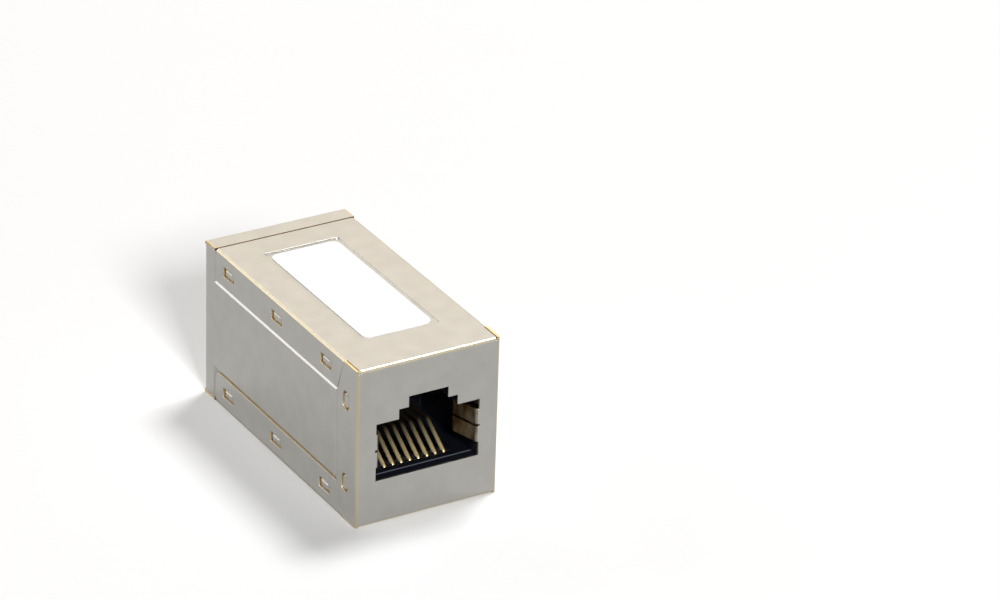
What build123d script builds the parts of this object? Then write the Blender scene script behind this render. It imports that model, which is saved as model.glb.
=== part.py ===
from build123d import *
from math import atan, cos, degrees, radians, sin, tan
import os

os.makedirs("parts", exist_ok=True)

# A shielded inline coupler for eight-pole modular plugs: two folded shells that snap
# together around two jacks, which stand back to back on one small circuit board.
# The origin is at the middle of the underside. X goes across, Y from the front socket to
# the rear one, Z up. The front socket has its latch side up, the rear one has it down.

# Overall size of the closed coupler
width = 17.0
height = 18.5
length = 34.1

# Sheet of both shells
sheet = 0.25
bend_radius = 0.15
lap_gap = 0.03
edge_gap = 0.06
seam_gap = 0.12
relief_radius = 0.16

# Folds of the front shell: strips down from the top and up from the bottom, flanges back
# from the face, and the mitre between a strip and a flange
strip_depth = 3.75
strip_corner = 0.9
face_flange = 4.2
mitre_start = 2.85

# Short top and bottom flanges of the rear shell. Its side panels are pressed inwards under
# the front shell's folds, and are flush with them from a short way past their edges
rear_flange = 2.5
press_reveal = 0.4
press_angle = 45

# Snap windows in the front shell's folds, and the bumps of the rear shell inside them
window_length = 2.4
window_width = 1.2
window_lead = 2.6
window_tail = 3.0
window_inset = 1.9
slot_length = 2.2
slot_width = 1.4
slot_back = 2.4
slot_rise = 4.85
bump_length = 1.7
bump_width = 0.85
slot_bump_length = 1.9
slot_bump_width = 1.1
bump_height = 0.24
bump_taper = 35
dent_depth = 0.2

# Recess of the label in the top panel
label_length = 21.2
label_width = 8.2
label_corner = 0.9
label_thickness = 0.1
recess_margin = 0.5
recess_depth = 0.15
recess_corner = 0.3

# Eight-pole modular plug, and the room that a socket leaves around it
plug_width = 11.7
plug_height = 6.6
plug_reach = 11.9
plug_room = 0.12
shoulder_width = 6.6
shoulder_rise = 1.15
handle_width = 4.3
handle_rise = 2.4
latch_room = 0.2

# Height of each socket's contact edge over the shell face next to it
front_edge = 5.1
rear_edge = 6.0

# Spring tabs folded in from both sides of each socket
tab_low = 1.6
tab_high = 5.5
tab_slit = 0.28
tab_fold = 74.5
tab_length = 3.2
opening_margin = 0.2

# Jack housings
housing_gap = 0.07
housing_corner = 0.3
lead_in = 0.75
latch_ledge = 2.4
latch_depth = 9.5
tab_room = 0.35
tab_pocket = 4.4
tail_room = 1.2
peg_diameter = 1.4
peg_length = 1.2
peg_inset = 2.0
peg_rise = 3.0

# Contacts: round spring wire that wraps round the nose of its insert
contact_count = 8
contact_pitch = 1.02
wire = 0.46
wire_run = 1.5
wire_angle = 32.7
wire_start = 0.97
wire_bend = 0.7
wire_crest = 6.45
crest_bend = 0.8
wire_end_drop = 0.6
wire_end_reach = 0.7
tail_row = 1.78
tail_bend = 0.4
tail_jog = 0.5
tail_length = 0.75

# Contact inserts
insert_gap = 0.05
insert_front = 2.25
insert_floor = 4.0
tooth_depth = 2.0
tooth_drop = 0.06
tooth_round = 0.35
deck_drop = 0.5
comb_rise = 2.75
comb_depth = 1.1
comb_floor = 0.6
wire_room = 0.03

# Circuit board
board_thickness = 1.6
board_gap = 0.05
board_margin = 0.3
hole_room = 0.12

# Places that follow from the sizes above
front_y = -length / 2
rear_y = length / 2
mid_z = height / 2
bend_outer = bend_radius + sheet
seam_y = rear_y - rear_flange
mitre_y = front_y + mitre_start
flange_y = front_y + face_flange
panel_width = width - 2 * (sheet + lap_gap)
panel_height = height - 2 * (sheet + edge_gap)
flange_start = seam_y + seam_gap
panel_start = front_y + bend_outer + seam_gap
lap_height = height - 2 * (bend_outer + lap_gap)
press_depth = sheet + lap_gap
press_slope = press_depth * tan(radians(press_angle))
press_shift = sheet * (1 - sin(radians(press_angle))) / cos(radians(press_angle))
flush_start = flange_y + press_reveal
flush_end = seam_y + press_reveal
flush_height = height - 2 * (strip_depth + press_reveal)
first_window = flange_y + window_lead
last_window = seam_y - window_tail
channel_width = plug_width + 2 * plug_room
channel_height = plug_height + plug_room
opening_width = channel_width + 2 * opening_margin
shoulder_slot = shoulder_width + 2 * latch_room
handle_slot = handle_width + 2 * latch_room
housing_front = sheet + housing_gap
housing_rear = length / 2 - board_thickness / 2 - board_gap
housing_width = panel_width - 2 * (sheet + housing_gap)
housing_height = height - 2 * (sheet + recess_depth + housing_gap)
peg_side = housing_width / 2 - peg_inset
insert_width = contact_count * contact_pitch + wire
slot_room = wire + 2 * wire_room
wire_top = (wire_crest - wire_start) * tan(radians(wire_angle)) - wire_run
tail_rows = (wire_run, wire_run + tail_row)
jog_end = housing_rear - tail_jog
jog_start = jog_end - tail_row
contact_places = [contact_pitch * (number - (contact_count - 1) / 2) for number in range(contact_count)]
board_width = panel_width - 2 * (sheet + board_margin)
board_height = height - 2 * (sheet + recess_depth + board_margin)

# Each jack has its own plane on the outer face: the origin is on the contact edge, the
# plane's Y points to the latch side and its Z into the coupler
front_jack = Plane(origin=(0, front_y, front_edge), x_dir=(-1, 0, 0), z_dir=(0, 1, 0))
rear_jack = Plane(origin=(0, rear_y, height - rear_edge), x_dir=(-1, 0, 0), z_dir=(0, -1, 0))


def side_plane(jack, across=0):
    """The plane that cuts a jack along its depth: X into the coupler, Y to the latch side."""
    origin = jack.from_local_coords(Vector(across, 0, 0))
    return Plane(origin=origin, x_dir=jack.z_dir, z_dir=-jack.x_dir)


def folded_strip(section, points, span):
    """Adds sheet that is bent along the points of a section and as wide as the span."""
    with BuildSketch(section) as profile:
        with BuildLine():
            FilletPolyline(*points, radius=bend_radius + sheet / 2)
        trace(line_width=sheet)
    extrude(profile.sketch, amount=span / 2, both=True)


def cut_across(points):
    """Cuts an outline of (y, z) points through the whole width, and its mirror image below."""
    for turn in (1, -1):
        with BuildSketch(Plane.YZ) as outline:
            with BuildLine():
                Polyline(*[(y, mid_z + turn * (z - mid_z)) for y, z in points], close=True)
            make_face()
        extrude(outline.sketch, amount=width, both=True, mode=Mode.SUBTRACT)


def flush_outline(margin, mode=Mode.ADD):
    """Draws the flush part of a side panel: between the strips, and behind their ends."""
    onwards = (Align.MIN, Align.CENTER)
    with Locations((flush_start - margin, 0)):
        Rectangle(length, flush_height + 2 * margin, align=onwards, mode=mode)
    with Locations((flush_end - margin, 0)):
        Rectangle(length, 2 * height, align=onwards, mode=mode)


def cut_corners(face_y):
    """Drills the small relief holes where the bends of a shell meet at its face."""
    inward = 1 if face_y < 0 else -1
    centre_x = (width - sheet - bend_outer) / 2
    for start in (-sheet, height - bend_outer):
        with BuildSketch(Plane.XY.offset(start)) as holes:
            with Locations((centre_x, face_y + inward * bend_outer / 2)):
                Circle(relief_radius)
            mirror(about=Plane.YZ)
        extrude(holes.sketch, amount=sheet + bend_outer, mode=Mode.SUBTRACT)


def socket_outline(main_width):
    """Draws the stepped outline of a socket: the plug, its latch's shoulders, its handle."""
    upwards = (Align.CENTER, Align.MIN)
    Rectangle(main_width, channel_height, align=upwards)
    Rectangle(shoulder_slot, channel_height + shoulder_rise, align=upwards)
    Rectangle(handle_slot, channel_height + handle_rise, align=upwards)


def cut_socket(jack):
    """Cuts the socket in a shell's face and folds the spring tabs in on both sides."""
    with BuildSketch(jack.offset(-sheet)) as opening:
        socket_outline(opening_width)
    extrude(opening.sketch, amount=2 * sheet + bend_outer, mode=Mode.SUBTRACT)
    tab_height = tab_high - tab_low
    for side in (1, -1):
        middle = jack.from_local_coords(Vector(0, (tab_low + tab_high) / 2, 0))
        section = Plane(origin=middle, x_dir=side * jack.x_dir, z_dir=side * -jack.y_dir)
        with BuildSketch(section) as tab:
            with BuildLine():
                root = Line((opening_width / 2 + sheet, sheet / 2), (opening_width / 2, sheet / 2))
                fold = JernArc(root @ 1, root % 1, bend_radius + sheet / 2, -tab_fold)
                Line(fold @ 1, fold @ 1 + tab_length * (fold % 1))
            trace(line_width=sheet)
        extrude(tab.sketch, amount=tab_height / 2, both=True)
    with BuildSketch(jack.offset(-sheet)) as slit:
        with Locations((0, (tab_low + tab_high) / 2)):
            Rectangle(opening_width + sheet, tab_slit)
    extrude(slit.sketch, amount=2 * sheet + tab_length + bend_outer, mode=Mode.SUBTRACT)


# Places of the snap windows and slots, as (y, z) pairs
window_places = [
    (y, mid_z + turn * (mid_z - window_inset))
    for y in (first_window, (first_window + last_window) / 2, last_window)
    for turn in (1, -1)
]
slot_places = [(front_y + slot_back, mid_z + turn * slot_rise) for turn in (1, -1)]

# Flanges of the front shell, folded back from both sides of its face over the full
# height, so that their cut edges lie level with the top and bottom panels
with BuildPart() as face_flanges:
    flange_x = (width - sheet) / 2
    face_mid = front_y + sheet / 2
    folded_strip(
        Plane.XY.offset(mid_z),
        [(-flange_x, flange_y), (-flange_x, face_mid), (flange_x, face_mid), (flange_x, flange_y)],
        height,
    )
    cut_across([(mitre_y, height), (flange_y, height - strip_depth), (flange_y + sheet, height)])
    with BuildSketch(Plane.XZ.offset(-front_y)):
        with Locations((0, mid_z)):
            Rectangle(width - 2 * bend_outer, height)
    extrude(amount=-bend_outer, mode=Mode.SUBTRACT)

# Front shell: top panel, front face and bottom panel are one bent strip. The top and
# bottom edges are folded down and up, and meet the face's own flanges at a mitre
with BuildPart() as front_shell:
    face_mid = front_y + sheet / 2
    top_mid = height - sheet / 2
    folded_strip(
        Plane.YZ,
        [(seam_y, top_mid), (face_mid, top_mid), (face_mid, sheet / 2), (seam_y, sheet / 2)],
        width,
    )
    strip_y = mitre_y + seam_gap
    with BuildSketch(Plane.XZ.offset(-front_y)):
        with Locations((0, mid_z)):
            Rectangle(2 * width, 2 * height)
            Rectangle(width - 2 * bend_outer, 2 * height, mode=Mode.SUBTRACT)
    extrude(amount=-length, mode=Mode.SUBTRACT)
    with BuildSketch(Plane.XZ.offset(-strip_y)):
        with Locations((0, mid_z)):
            RectangleRounded(width, height, bend_outer)
            RectangleRounded(width - 2 * sheet, height - 2 * sheet, bend_radius, mode=Mode.SUBTRACT)
    extrude(amount=-(seam_y - strip_y))
    cut_across(
        [
            (strip_y, height - sheet),
            (flange_y + seam_gap, height - strip_depth),
            (seam_y + sheet, height - strip_depth),
            (seam_y + sheet, mid_z),
            (strip_y, mid_z),
        ]
    )
    lower_corners = front_shell.edges().filter_by(Axis.X)
    lower_corners = lower_corners.filter_by_position(Axis.Y, seam_y - sheet / 2, seam_y + sheet / 2)
    lower_corners = lower_corners.filter_by_position(Axis.Z, strip_depth - sheet / 2, strip_depth + sheet / 2)
    fillet(lower_corners, strip_corner)
    add(face_flanges.part)
    cut_corners(front_y)
    with BuildSketch(Plane.YZ):
        with Locations(*window_places):
            Rectangle(window_length, window_width)
        with Locations(*slot_places):
            SlotOverall(slot_length, slot_width, rotation=90)
    extrude(amount=width, both=True, mode=Mode.SUBTRACT)
    with BuildSketch(Plane.XY.offset(height - sheet)):
        RectangleRounded(
            label_width + 2 * (recess_margin + recess_depth),
            label_length + 2 * (recess_margin + recess_depth),
            recess_corner + recess_depth,
        )
    extrude(amount=-recess_depth)
    with BuildSketch(Plane.XY.offset(height)):
        RectangleRounded(label_width + 2 * recess_margin, label_length + 2 * recess_margin, recess_corner)
    extrude(amount=-recess_depth, mode=Mode.SUBTRACT)
    cut_socket(front_jack)

front_shell.part.label = "front_shell"
export_step(front_shell.part, "parts/front_shell.step")


# Flanges at the top and bottom of the rear shell, as wide as the front shell's own panels
with BuildPart() as rear_flanges:
    face_mid = rear_y - sheet / 2
    top_mid = height - sheet / 2
    folded_strip(
        Plane.YZ,
        [(flange_start, top_mid), (face_mid, top_mid), (face_mid, sheet / 2), (flange_start, sheet / 2)],
        width,
    )
    with BuildSketch(Plane.XZ.offset(-rear_y)):
        with Locations((0, mid_z)):
            Rectangle(2 * width, height - 2 * bend_outer)
            Rectangle(width - 2 * bend_outer, height - 2 * bend_outer, mode=Mode.SUBTRACT)
    extrude(amount=bend_outer, mode=Mode.SUBTRACT)

# Room that the pressing leaves outside both side panels, where the front shell laps them
with BuildPart() as pressed_room:
    with BuildSketch(Plane(origin=(width / 2, 0, mid_z), x_dir=(0, 1, 0), z_dir=(-1, 0, 0))):
        Rectangle(2 * length, 2 * height)
        flush_outline(0, Mode.SUBTRACT)
    extrude(amount=press_depth, taper=press_angle)
    mirror(about=Plane.YZ)

# Pressed areas of both side panels
with BuildPart() as pressed_sheet:
    with BuildSketch(Plane(origin=(width / 2 - sheet, 0, mid_z), x_dir=(0, 1, 0), z_dir=(-1, 0, 0))):
        with Locations((panel_start, 0)):
            Rectangle(flush_end - panel_start, lap_height, align=(Align.MIN, Align.CENTER))
    extrude(amount=press_depth)
    inside = width / 2 - sheet - press_depth
    with BuildSketch(Plane(origin=(inside, 0, mid_z), x_dir=(0, 1, 0), z_dir=(1, 0, 0))):
        flush_outline(press_slope - press_shift)
    extrude(amount=press_depth, taper=press_angle, mode=Mode.SUBTRACT)
    mirror(about=Plane.YZ)

# Rear shell: both side panels and the rear face are one bent strip. Bumps pressed out of
# the lapped areas of the panels catch in the front shell's windows
with BuildPart() as rear_shell:
    panel_mid = (width - sheet) / 2
    folded_strip(
        Plane.XY.offset(mid_z),
        [(-panel_mid, panel_start), (-panel_mid, face_mid), (panel_mid, face_mid), (panel_mid, panel_start)],
        panel_height,
    )
    add(pressed_sheet.part)
    add(pressed_room.part, mode=Mode.SUBTRACT)
    cut_across(
        [
            (rear_y - bend_outer, height - bend_outer),
            (rear_y + sheet, height - bend_outer),
            (rear_y + sheet, height),
            (rear_y - bend_outer, height),
        ]
    )
    add(rear_flanges.part)
    cut_corners(rear_y)
    for side in (1, -1):
        outside = Plane(origin=(side * panel_width / 2, 0, 0), x_dir=(0, 1, 0), z_dir=(side, 0, 0))
        up = outside.y_dir.Z
        with BuildSketch(outside) as bumps:
            for y, z in window_places:
                with Locations((y, up * z)):
                    Rectangle(bump_length, bump_width)
            for y, z in slot_places:
                with Locations((y, up * z)):
                    SlotOverall(slot_bump_length, slot_bump_width, rotation=90)
        extrude(bumps.sketch, amount=bump_height, taper=bump_taper)
        with BuildSketch(outside.offset(-sheet)) as dents:
            for y, z in window_places:
                with Locations((y, up * z)):
                    Rectangle(bump_length - sheet, bump_width - sheet)
            for y, z in slot_places:
                with Locations((y, up * z)):
                    SlotOverall(slot_bump_length - sheet, slot_bump_width - sheet, rotation=90)
        extrude(dents.sketch, amount=dent_depth, taper=bump_taper, mode=Mode.SUBTRACT)
    cut_socket(rear_jack)

rear_shell.part.label = "rear_shell"
export_step(rear_shell.part, "parts/rear_shell.step")

# White label, laid on the floor of the top panel's recess
with BuildPart() as label:
    with BuildSketch(Plane.XY.offset(height - recess_depth)):
        RectangleRounded(label_width, label_length, label_corner)
    extrude(amount=label_thickness)

label.part.label = "label"
export_step(label.part, "parts/label.step")


def housing(jack, edge):
    """Models a moulded jack housing: the socket, the insert's well, pockets and two pegs."""
    centre = height / 2 - edge
    depth = housing_rear - housing_front
    upwards = (Align.CENTER, Align.MIN)
    downwards = (Align.CENTER, Align.MAX)
    with BuildPart() as body:
        with BuildSketch(jack.offset(housing_front)):
            with Locations((0, centre)):
                Rectangle(housing_width, housing_height)
        extrude(amount=depth)
        front = body.faces().sort_by(Axis((0, 0, 0), jack.z_dir))[0]
        chamfer(front.edges(), housing_corner)
        with BuildSketch(jack.offset(housing_front)):
            socket_outline(channel_width)
        extrude(amount=latch_ledge - housing_front, mode=Mode.SUBTRACT)
        with BuildSketch(jack.offset(housing_front + lead_in)):
            socket_outline(channel_width)
        extrude(amount=-lead_in, taper=-degrees(atan(opening_margin / lead_in)), mode=Mode.SUBTRACT)
        with BuildSketch(jack.offset(latch_ledge)):
            Rectangle(shoulder_slot, channel_height + handle_rise, align=upwards)
        extrude(amount=latch_depth - latch_ledge, mode=Mode.SUBTRACT)
        with BuildSketch(jack.offset(latch_ledge)):
            Rectangle(channel_width, channel_height, align=upwards)
        extrude(amount=plug_reach - latch_ledge, mode=Mode.SUBTRACT)
        with BuildSketch(jack):
            with Locations((0, (tab_low + tab_high) / 2)):
                Rectangle(opening_width + 2 * tab_room, tab_high - tab_low + 2 * tab_room)
        extrude(amount=tab_pocket, mode=Mode.SUBTRACT)
        with BuildSketch(jack.offset(insert_front - insert_gap)):
            Rectangle(insert_width + 2 * insert_gap, insert_floor + insert_gap, align=downwards)
        extrude(amount=housing_rear, mode=Mode.SUBTRACT)
        with BuildSketch(jack.offset(plug_reach)):
            Rectangle(insert_width + 2 * insert_gap, comb_rise + insert_gap, align=upwards)
        extrude(amount=housing_rear, mode=Mode.SUBTRACT)
        with BuildSketch(jack.offset(housing_rear)):
            for row in tail_rows:
                with Locations((0, height - front_edge - rear_edge + row)):
                    SlotOverall(insert_width, 2 * (tail_row - hole_room))
        extrude(amount=-tail_room, mode=Mode.SUBTRACT)
        with BuildSketch(jack.offset(housing_rear)):
            with Locations((-peg_side, centre + peg_rise), (peg_side, centre + peg_rise)):
                Circle(peg_diameter / 2)
        extrude(amount=peg_length)
    return body.part


def insert(jack):
    """Models a contact insert: teeth between the wires, a deck, and a comb for their ends."""
    with BuildPart() as body:
        with BuildSketch(side_plane(jack)) as profile:
            with BuildLine():
                Polyline(
                    (insert_front, -insert_floor),
                    (insert_front, -tooth_drop),
                    (insert_front + tooth_depth, -tooth_drop),
                    (insert_front + tooth_depth, -deck_drop),
                    (plug_reach, -deck_drop),
                    (plug_reach, comb_rise),
                    (housing_rear, comb_rise),
                    (housing_rear, -insert_floor),
                    close=True,
                )
            make_face()
            nose = profile.vertices().group_by(Axis.X)[0].sort_by(Axis.Y)[-1]
            fillet(nose, tooth_round)
        extrude(amount=insert_width / 2, both=True)
        run_low = wire_run + slot_room / 2
        run_high = wire_run - slot_room / 2
        with BuildSketch(jack.offset(insert_front)):
            for place in contact_places:
                with Locations((place, -run_low)):
                    Rectangle(slot_room, run_low, align=(Align.CENTER, Align.MIN))
        extrude(amount=plug_reach - insert_front, mode=Mode.SUBTRACT)
        with BuildSketch(jack.offset(plug_reach)):
            for place in contact_places:
                with Locations((place, -run_high)):
                    Rectangle(slot_room, slot_room, align=(Align.CENTER, Align.MAX))
        extrude(amount=housing_rear - plug_reach, mode=Mode.SUBTRACT)
        with BuildSketch(jack.offset(jog_start - wire)):
            for place in contact_places[1::2]:
                with Locations((place, -run_high)):
                    Rectangle(slot_room, tail_row + slot_room, align=(Align.CENTER, Align.MAX))
        extrude(amount=housing_rear - jog_start + wire, mode=Mode.SUBTRACT)
        with BuildSketch(jack.offset(plug_reach)):
            for place in contact_places:
                with Locations((place, comb_floor)):
                    Rectangle(slot_room, comb_rise, align=(Align.CENTER, Align.MIN))
        extrude(amount=comb_depth, mode=Mode.SUBTRACT)
    return body.part


def contact(jack, number):
    """Bends one contact: tail, level run, the turn round the nose, crest and free end."""
    tip = length / 2 + board_thickness / 2 + tail_length
    row = tail_rows[number % 2]
    points = [(tip, -row)]
    radii = []
    if row > wire_run:
        points += [(jog_end, -row), (jog_start, -wire_run)]
        radii += [tail_bend, tail_bend]
    points += [(wire_start, -wire_run), (wire_crest, wire_top)]
    points += [(plug_reach + wire_end_reach, wire_top - wire_end_drop)]
    radii += [wire_bend, crest_bend]
    with BuildPart() as body:
        with BuildLine(side_plane(jack, contact_places[number])) as path:
            FilletPolyline(*points, radius=radii)
        with BuildSketch(Plane(origin=path.line @ 0, z_dir=path.line % 0)) as section:
            Circle(wire / 2)
        sweep(section.sketch, path=path.line)
    return body.part


# Both jacks: housing, insert and eight contacts each
jacks = {"front": (front_jack, front_edge), "rear": (rear_jack, rear_edge)}
for end, (jack, edge) in jacks.items():
    jack_housing = housing(jack, edge)
    jack_housing.label = end + "_housing"
    export_step(jack_housing, "parts/" + end + "_housing.step")
    contact_insert = insert(jack)
    contact_insert.label = end + "_insert"
    export_step(contact_insert, "parts/" + end + "_insert.step")
    for number in range(contact_count):
        spring = contact(jack, number)
        spring.label = end + "_contact_" + str(number + 1)
        export_step(spring, "parts/" + spring.label + ".step")

# Circuit board between the jacks, with a hole for each tail and each peg
with BuildPart() as circuit_board:
    with BuildSketch(Plane.XZ):
        with Locations((0, mid_z)):
            Rectangle(board_width, board_height)
        for number, place in enumerate(contact_places):
            row = tail_rows[number % 2]
            with Locations((-place, front_edge - row), (-place, height - rear_edge + row)):
                Circle(wire / 2 + hole_room / 2, mode=Mode.SUBTRACT)
        for rise in (peg_rise, -peg_rise):
            with Locations((-peg_side, mid_z + rise), (peg_side, mid_z + rise)):
                Circle(peg_diameter / 2 + hole_room / 2, mode=Mode.SUBTRACT)
    extrude(amount=board_thickness / 2, both=True)

circuit_board.part.label = "circuit_board"
export_step(circuit_board.part, "parts/circuit_board.step")
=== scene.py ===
import math

import bmesh
import bpy
from mathutils import Matrix, Vector


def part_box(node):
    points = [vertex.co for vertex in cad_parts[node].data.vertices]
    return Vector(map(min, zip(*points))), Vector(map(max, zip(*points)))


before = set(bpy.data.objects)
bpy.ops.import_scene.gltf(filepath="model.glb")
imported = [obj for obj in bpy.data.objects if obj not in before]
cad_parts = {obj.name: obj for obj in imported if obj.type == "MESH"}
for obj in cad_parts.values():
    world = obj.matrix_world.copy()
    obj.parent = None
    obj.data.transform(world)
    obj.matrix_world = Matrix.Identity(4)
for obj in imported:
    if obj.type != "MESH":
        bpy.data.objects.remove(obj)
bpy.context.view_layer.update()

# The two shells
# Each is folded from one sheet of brass, satin nickel plated before the stamping, so the
# plating covers the sheet's flats and every punched or sheared edge shows bare brass. The
# front one's side strips and flanges snap over the rear one's pressed side panels.

MM = 0.001
X_AXIS, Y_AXIS, Z_AXIS = range(3)

# The sheet, its folds, and how far off its skins a point lies when it is on a cut edge
SHEET = 0.25 * MM
BEND = 0.4 * MM
EDGE = 0.025 * MM
FOLD_REFLECTION_SPAN = 0.05 * MM
EDGE_ROUNDING = 0.09 * MM
FACES_ALONG = 0.7

# Places on the closed box of the two shells
front_low, front_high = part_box("front_shell")
SIDE = front_high.x
TOP = front_high.z
FRONT = front_low.y
SEAM = front_high.y
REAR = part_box("rear_shell")[1].y
LABEL_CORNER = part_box("label")[1]
LABEL_MARGIN = 1.0 * MM
FLUSH_GAP = 0.4 * MM
SEAM_GAP = 0.12 * MM
SOCKET_SIDE = 6.1 * MM
SOCKET_RISE = 6.0 * MM

NICKEL = (0.615, 0.60, 0.56, 1)
NICKEL_PALE = (0.65, 0.635, 0.59, 1)
# The warm colour on the folds is a painted reflection.
NICKEL_FOLD_REFLECTION = (0.72, 0.64, 0.46, 1)
BRASS = (0.95, 0.76, 0.40, 1)
BRASS_DARK = (0.70, 0.50, 0.24, 1)
# Dark browns for painted shade on the tabs inside the sockets and in the seam between the shells
PAINTED_SHADE = (0.16, 0.10, 0.05, 1)
PAINTED_SHADE_PALE = (0.38, 0.35, 0.31, 1)

# Roughness of the plating, and what its cloudiness, its rolling marks and a cut edge add
SATIN = 0.30
SATIN_CLOUD = 0.04
SATIN_ROLLED = 0.06
SATIN_CUT = 0.2

# The colour sockets of a Mix node, which share their names with its other sockets
MIX_FACTOR, MIX_FIRST, MIX_SECOND = 0, 6, 7
MIX_COLOUR = 2


class Reading:
    """A shader output that sums, products and comparisons can be written with."""

    def __init__(self, shading, output):
        self.shading = shading
        self.output = output

    def work(self, operation, *values):
        return self.shading.node("Math", {"operation": operation}, dict(enumerate(values)))

    def __add__(self, other):
        return self.work("ADD", self, other)

    def __sub__(self, other):
        return self.work("SUBTRACT", self, other)

    def __rsub__(self, other):
        return self.work("SUBTRACT", other, self)

    def __mul__(self, other):
        return self.work("MULTIPLY", self, other)

    def __gt__(self, other):
        return self.work("GREATER_THAN", self, other)

    def __lt__(self, other):
        return self.work("LESS_THAN", self, other)

    def __and__(self, other):
        return self.work("MINIMUM", self, other)

    def __or__(self, other):
        return self.work("MAXIMUM", self, other)

    def __abs__(self):
        return self.work("ABSOLUTE", self)

    def root(self):
        return self.work("SQRT", self)

    __radd__ = __add__
    __rmul__ = __mul__


class Shading:
    """A node tree under construction, with its shader and the nodes that feed it."""

    def __init__(self, owner, shader, **constants):
        owner.use_nodes = True
        self.nodes = owner.node_tree.nodes
        self.links = owner.node_tree.links
        self.shader = self.nodes[shader]
        for socket, value in constants.items():
            self.shader.inputs[socket.replace("_", " ")].default_value = value

    def node(self, kind, settings=None, sockets=None, output=0):
        """Adds a node of any type, with its settings and with values or links on its sockets."""
        made = self.nodes.new("ShaderNode" + kind)
        for name, value in (settings or {}).items():
            setattr(made, name, value)
        for name, value in (sockets or {}).items():
            if isinstance(value, Reading):
                self.links.new(value.output, made.inputs[name])
            else:
                made.inputs[name].default_value = value
        return Reading(self, made.outputs[output])

    def feed(self, socket, reading):
        self.links.new(reading.output, self.shader.inputs[socket])

    def mix(self, factor, first, second):
        sockets = {MIX_FACTOR: factor, MIX_FIRST: first, MIX_SECOND: second}
        return self.node("Mix", {"data_type": "RGBA"}, sockets, MIX_COLOUR)

    def parts(self, vector):
        """The x, y and z of a vector."""
        split = self.node("SeparateXYZ", sockets={"Vector": vector})
        return [Reading(self, output) for output in split.output.node.outputs]

    def place(self):
        """The three object coordinates of the point being shaded."""
        return self.parts(self.node("TexCoord", output="Object"))

    def facing(self):
        """The three parts of the direction that the surface faces."""
        return self.parts(self.node("NewGeometry", output="True Normal"))

    def spread(self, reading, low, high):
        """Stretches the range from low to high over the whole of 0 to 1."""
        return self.node("MapRange", {"clamp": True}, {"Value": reading, "From Min": low, "From Max": high})

    def noise(self, scale, detail=2.0, stretch=(1, 1, 1)):
        """Smooth random values on object coordinates, with scale in cells per metre."""
        coordinates = self.node("TexCoord", output="Object")
        mapped = self.node("Mapping", sockets={"Vector": coordinates, "Scale": stretch})
        sockets = {"Vector": mapped, "Scale": scale, "Detail": detail, "Roughness": 0.5}
        return self.node("TexNoise", sockets=sockets)

    def bump(self, height, distance, strength, rounding=None):
        """Raises the surface by a pattern, over edges that are rounded off by a radius."""
        sockets = {"Strength": strength, "Distance": distance, "Height": height}
        if rounding:
            sockets["Normal"] = self.node("Bevel", {"samples": 8}, {"Radius": rounding})
        self.feed("Normal", self.node("Bump", sockets=sockets))


class Finish(Shading):
    """The material of some pieces."""

    def __init__(self, name, **constants):
        self.material = bpy.data.materials.new(name)
        super().__init__(self.material, "Principled BSDF", **constants)

    def dress(self, *pieces):
        for piece in pieces:
            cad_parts[piece].material_slots[0].material = self.material


def plated_sheet(name, cut_start, edge_axis):
    """Satin nickel plating, with bare brass on the cut edges that lie behind the start.

    The sheet follows a box with rounded folds, so a point that is neither on the box's
    skin nor one sheet below it is on a cut edge. Where a flange runs on past the end of
    a fold, its cut edge faces along the edge axis.
    """
    finish = Finish(name, Metallic=1.0)
    x, y, z = finish.place()
    aside, astern, aloft = abs(x), abs(y), abs(z - TOP / 2)

    # Distance out from the rounded box, below zero inside it
    over = (aside - (SIDE - BEND), astern - (REAR - BEND), aloft - (TOP / 2 - BEND))
    beyond = [distance | 0.0 for distance in over]
    outward = (beyond[0] * beyond[0] + beyond[1] * beyond[1] + beyond[2] * beyond[2]).root()
    skin = outward + ((over[0] | over[1] | over[2]) & 0.0) - BEND

    within = (skin > EDGE - SHEET) & (skin < -EDGE)
    past = (skin > EDGE) & (abs(finish.facing()[edge_axis]) > FACES_ALONG)
    beside_label = (aside > LABEL_CORNER.x + LABEL_MARGIN) | (astern > LABEL_CORNER.y + LABEL_MARGIN)
    cut = (within | past) & (beside_label | (z < TOP - SHEET)) & (y > cut_start)
    # A painted warm reflection on the folds
    folded = finish.spread(outward - (beyond[0] | beyond[1] | beyond[2]), 0.0, FOLD_REFLECTION_SPAN)
    # The tabs inside the socket and the seam between the two shells are darkened with painted shade.
    at_tabs = (aside < SOCKET_SIDE) & (astern < REAR - EDGE) & (aloft < SOCKET_RISE)
    at_seam = (abs(y - SEAM - SEAM_GAP / 2) < SEAM_GAP) & (aloft > TOP / 2 - 2 * SHEET)

    cloud = finish.noise(scale=480.0, detail=4.0)
    streaks = finish.noise(scale=900.0, detail=3.0, stretch=(1.0, 1.0, 0.4))
    plate = finish.mix(finish.spread(cloud, 0.35, 0.65), NICKEL, NICKEL_PALE)
    bare = finish.mix(finish.noise(scale=1500.0), BRASS_DARK, BRASS)
    socket_painted_shade = finish.mix(finish.spread(streaks, 0.4, 0.62), PAINTED_SHADE, PAINTED_SHADE_PALE)
    shown = finish.mix(cut, finish.mix(folded, plate, NICKEL_FOLD_REFLECTION), bare)
    finish.feed("Base Color", finish.mix(at_seam, finish.mix(at_tabs, shown, socket_painted_shade), PAINTED_SHADE))

    rolled = finish.noise(scale=9000.0, stretch=(0.05, 1.0, 1.0))
    pitted = finish.noise(scale=14000.0, detail=3.0)
    roughness = SATIN + cloud * SATIN_CLOUD + rolled * SATIN_ROLLED + cut * SATIN_CUT
    finish.feed("Roughness", roughness)
    finish.bump(rolled * 0.5 + pitted * 0.5, 0.003 * MM, 0.6, EDGE_ROUNDING)
    return finish


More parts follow.
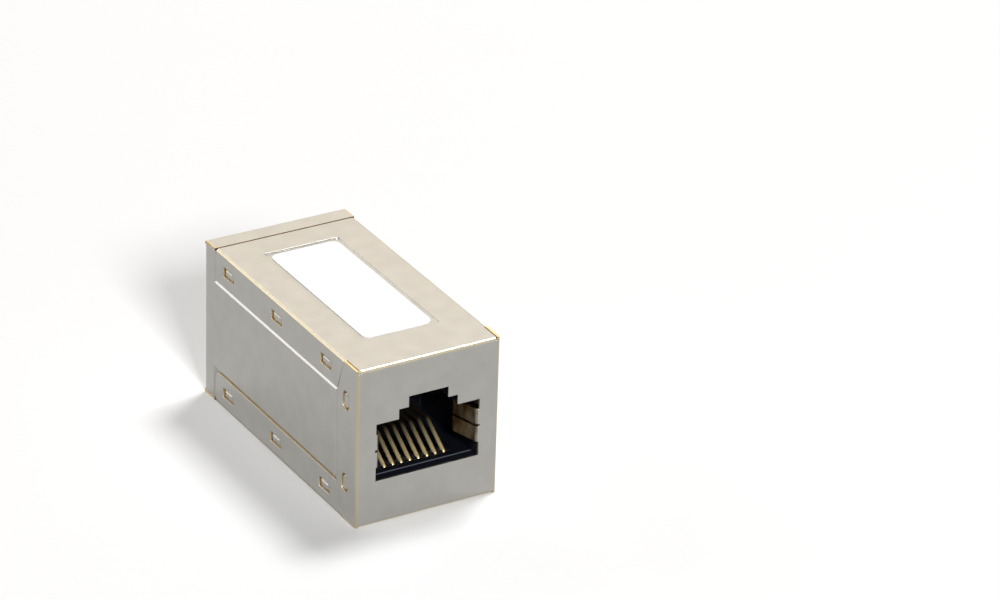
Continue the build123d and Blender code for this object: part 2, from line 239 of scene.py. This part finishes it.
plated_sheet("plated_front_sheet", 2 * FRONT, Z_AXIS).dress("front_shell")
plated_sheet("plated_rear_sheet", SEAM + FLUSH_GAP, X_AXIS).dress("rear_shell")

# The label
# A label of white film with rounded corners. Its adhesive back holds it on the floor of the
# recess in the top panel. It is left bare.

FILM = (0.90, 0.90, 0.90, 1)
FILM_PALE = (0.96, 0.96, 0.965, 1)

label_finish = Finish("label_film", Roughness=0.5)
mottle = label_finish.noise(scale=6000.0, detail=3.0)
label_finish.feed("Base Color", label_finish.mix(mottle, FILM, FILM_PALE))
label_finish.bump(mottle, 0.002 * MM, 0.5)
label_finish.dress("label")

# The jack housings and their inserts
# Moulded in glossy black plastic. The housings lie inside the shells, behind their sockets,
# and each insert sits in a well in its housing. A painted highlight along the sill stands in
# for the light on the moulded ledge across the mouth of the real socket.

BLACK = (0.004, 0.005, 0.008, 1)
BLACK_PALE = (0.009, 0.011, 0.017, 1)
LEDGE_HIGHLIGHT = (0.22, 0.25, 0.30, 1)
LEDGE_PLACE = 1.3 * MM
LEDGE_WIDTH = 0.3 * MM
MOULDED_ROUNDING = 0.12 * MM

black_finish = Finish("black_plastic")
grain = black_finish.noise(scale=9000.0)
from_ledge = abs(abs(black_finish.place()[Y_AXIS]) - (REAR - LEDGE_PLACE))
level = abs(black_finish.facing()[Z_AXIS]) > FACES_ALONG
# A painted highlight along the sill, on the level faces only
ledge_highlight = black_finish.spread(from_ledge, LEDGE_WIDTH / 2, 0.0) * level
moulded = black_finish.mix(grain, BLACK, BLACK_PALE)
black_finish.feed("Base Color", black_finish.mix(ledge_highlight, moulded, LEDGE_HIGHLIGHT))
black_finish.feed("Roughness", 0.16 + grain * 0.12)
black_finish.bump(grain, 0.002 * MM, 0.4, MOULDED_ROUNDING)
black_finish.dress("front_housing", "rear_housing", "front_insert", "rear_insert")

# The contacts
# Eight round spring wires in each insert's grooves. They are gold plated where the plug
# touches them; further in, toward the tails that reach the circuit board, painted shade darkens them.

GOLD = (1.0, 0.74, 0.34, 1)
GOLD_PALE = (1.0, 0.88, 0.54, 1)
GOLD_PAINTED_SHADE = (0.04, 0.027, 0.012, 1)
CONTACT_TIP = -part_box("front_contact_1")[0].y
BRIGHT_END = 0.8 * MM
PAINTED_SHADE_START = 4.0 * MM

gold_finish = Finish("gold_wire", Metallic=0.65)
drawn = gold_finish.noise(scale=5000.0, stretch=(1.0, 0.2, 0.2))
from_middle = abs(gold_finish.place()[Y_AXIS])
bright = gold_finish.spread(from_middle, CONTACT_TIP - PAINTED_SHADE_START, CONTACT_TIP - BRIGHT_END)
flash = gold_finish.mix(drawn, GOLD, GOLD_PALE)
# Painted shade darkens the wires toward near black further into the socket
gold_finish.feed("Base Color", gold_finish.mix(bright, GOLD_PAINTED_SHADE, flash))
gold_finish.feed("Roughness", 0.22 + drawn * 0.12)
gold_finish.bump(drawn, 0.003 * MM, 0.4)
gold_finish.dress(*(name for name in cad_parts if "_contact_" in name))

# The circuit board
# Glass fibre board under green solder mask. It stands between the two jacks and joins the
# tails of their contacts, and no side of the closed coupler shows it.

MASK = (0.008, 0.075, 0.03, 1)
MASK_PALE = (0.014, 0.11, 0.05, 1)

board_finish = Finish("solder_mask")
weave = board_finish.noise(scale=1800.0)
board_finish.feed("Base Color", board_finish.mix(weave, MASK, MASK_PALE))
board_finish.feed("Roughness", 0.28 + weave * 0.12)
board_finish.bump(weave, 0.004 * MM, 0.3)
board_finish.dress("circuit_board")

# The studio
# A white floor that keeps the coupler's shadow, soft lamps, and the camera as the
# photograph's perspective gives it. The floor and the sky are more even in reflections
# than they are as light, so that the shells mirror a plain studio.

WHITE = (1, 1, 1, 1)
BLACKOUT = (0, 0, 0, 1)
FLOOR_SIZE = 3.0
FLOOR_SEEN = (0.83, 0.83, 0.83, 1)
FLOOR_UNSEEN = (0.24, 0.24, 0.24, 1)
FLOOR_GLOW = (0.31, 0.31, 0.31, 1)
SKY_LEVEL = 0.03
SKY_MIRRORED = 0.47

floor_mesh = bmesh.new()
bmesh.ops.create_grid(floor_mesh, x_segments=1, y_segments=1, size=FLOOR_SIZE / 2)
floor_data = bpy.data.meshes.new("floor")
floor_mesh.to_mesh(floor_data)
floor_mesh.free()
floor = bpy.data.objects.new("floor", floor_data)
bpy.context.scene.collection.objects.link(floor)

floor_finish = Finish("floor_paper", Roughness=0.9, Specular_IOR_Level=0.0, Emission_Strength=1.0)
seen = floor_finish.node("LightPath", output="Is Camera Ray")
mirrored = floor_finish.node("LightPath", output="Is Glossy Ray")
floor_finish.feed("Base Color", floor_finish.mix(seen, FLOOR_UNSEEN, FLOOR_SEEN))
floor_finish.feed("Emission Color", floor_finish.mix(mirrored, BLACKOUT, FLOOR_GLOW))
floor_data.materials.append(floor_finish.material)

world = bpy.data.worlds.new("studio")
bpy.context.scene.world = world
sky = Shading(world, "Background", Color=WHITE)
sky_mirrored = sky.node("LightPath", output="Is Glossy Ray")
sky_levels = {"Value": sky_mirrored, "To Min": SKY_LEVEL, "To Max": SKY_MIRRORED}
sky.feed("Strength", sky.node("MapRange", sockets=sky_levels))

middle = Vector((0, 0, TOP / 2))


def lamp(name, direction, distance, size, watts, colour=(1.0, 1.0, 1.0)):
    """A soft square lamp that stands in a direction from the coupler and faces it."""
    data = bpy.data.lights.new(name, "AREA")
    data.shape = "SQUARE"
    data.size = size
    data.energy = watts
    data.color = colour
    light = bpy.data.objects.new(name, data)
    bpy.context.scene.collection.objects.link(light)
    toward = Vector(direction).normalized()
    light.location = middle + distance * toward
    light.rotation_euler = toward.to_track_quat("Z", "Y").to_euler()


FAR = 1.2
NEAR = 0.6

# Two lamps for the floor and its shadow, then three that the top and its folds mirror
lamp("camera_lamp", (-0.32, -1.60, 1.00), FAR, size=0.26, watts=12.4)
lamp("high_lamp", (0.42, 0.18, 1.00), FAR, size=0.30, watts=9.8)
lamp("panel_lamp", (0.46, 0.76, 0.50), NEAR, size=0.50, watts=0.42, colour=(1.0, 0.84, 0.62))
lamp("slope_lamp", (-0.50, 0.76, 0.40), NEAR, size=0.30, watts=0.42)
lamp("fold_lamp", (-0.02, 0.76, 0.66), NEAR, size=0.12, watts=0.16, colour=(1.0, 0.95, 0.84))

CAMERA_TURN = math.radians(-31.15)
CAMERA_RISE = math.radians(27.37)
CAMERA_ROLL = math.radians(1.82)
CAMERA_DISTANCE = 0.5247
AIM_RIGHT = 0.0161
AIM_UP = 0.0069
LENS = 177.0
SENSOR = 36.0
NEAREST = 0.01

back = Vector((
    math.sin(CAMERA_TURN) * math.cos(CAMERA_RISE),
    -math.cos(CAMERA_TURN) * math.cos(CAMERA_RISE),
    math.sin(CAMERA_RISE),
))
turned = back.to_track_quat("Z", "Y").to_matrix() @ Matrix.Rotation(CAMERA_ROLL, 3, "Z")
camera_data = bpy.data.cameras.new("camera")
camera_data.lens = LENS
camera_data.sensor_width = SENSOR
camera_data.clip_start = NEAREST
camera = bpy.data.objects.new("camera", camera_data)
bpy.context.scene.collection.objects.link(camera)
camera.matrix_world = Matrix.Translation(
    middle + CAMERA_DISTANCE * back + AIM_RIGHT * turned.col[0] + AIM_UP * turned.col[1]
) @ turned.to_4x4()
bpy.context.scene.camera = camera
bpy.context.scene.view_settings.view_transform = "Standard"
